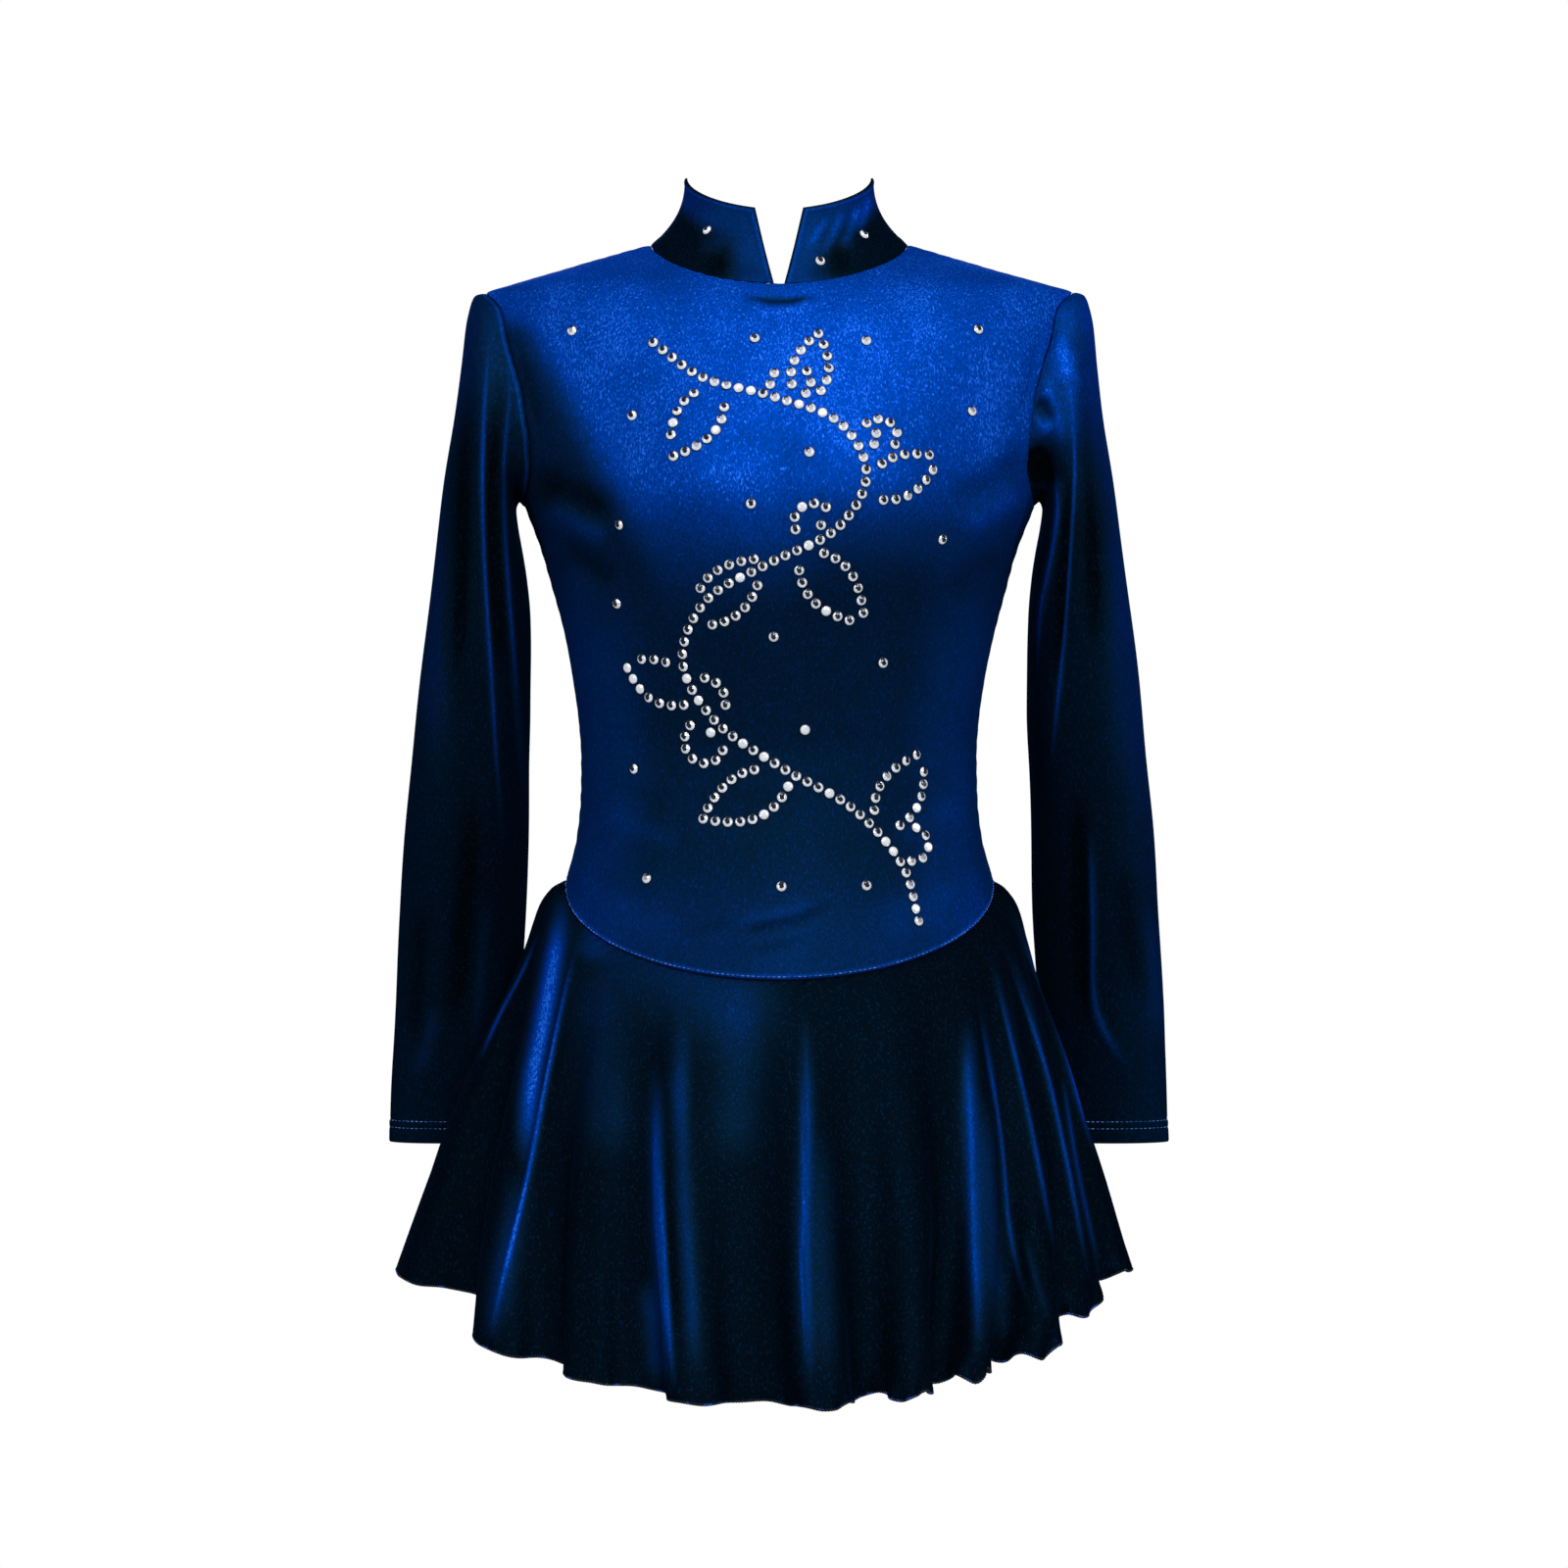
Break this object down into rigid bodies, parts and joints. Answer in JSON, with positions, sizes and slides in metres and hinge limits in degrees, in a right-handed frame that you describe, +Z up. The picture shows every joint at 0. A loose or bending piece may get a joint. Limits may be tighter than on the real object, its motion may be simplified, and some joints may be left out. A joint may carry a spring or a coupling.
{
  "type": "figure skating dress",
  "caption": "Long-sleeved skating dress, filled out and hollow, with a notched stand collar, a dipped waist seam and a short fluted circle skirt.",
  "frame": {"origin": "middle of the neck, level with the side neck points, where the wearer's shoulders carry the dress", "axes": "+Z up, the front faces -Y, +X is the wearer's left arm"},
  "size_m": [0.498, 0.4251, 0.7284],
  "materials": {
    "velvet": "royal blue stretch velvet with a short pile, bright where it faces the light and near black in its folds",
    "crystal": "clear faceted flat-back rhinestones with a silver foil back",
    "thread": "matching polyester sewing thread"
  },
  "bodies": {
    "root": {"bodice_front": "velvet", "bodice_back": "velvet", "sleeve_left": "velvet", "sleeve_right": "velvet", "collar_left": "velvet", "collar_right": "velvet", "skirt_front": "velvet", "skirt_back": "velvet"}
  },
  "joints": []
}
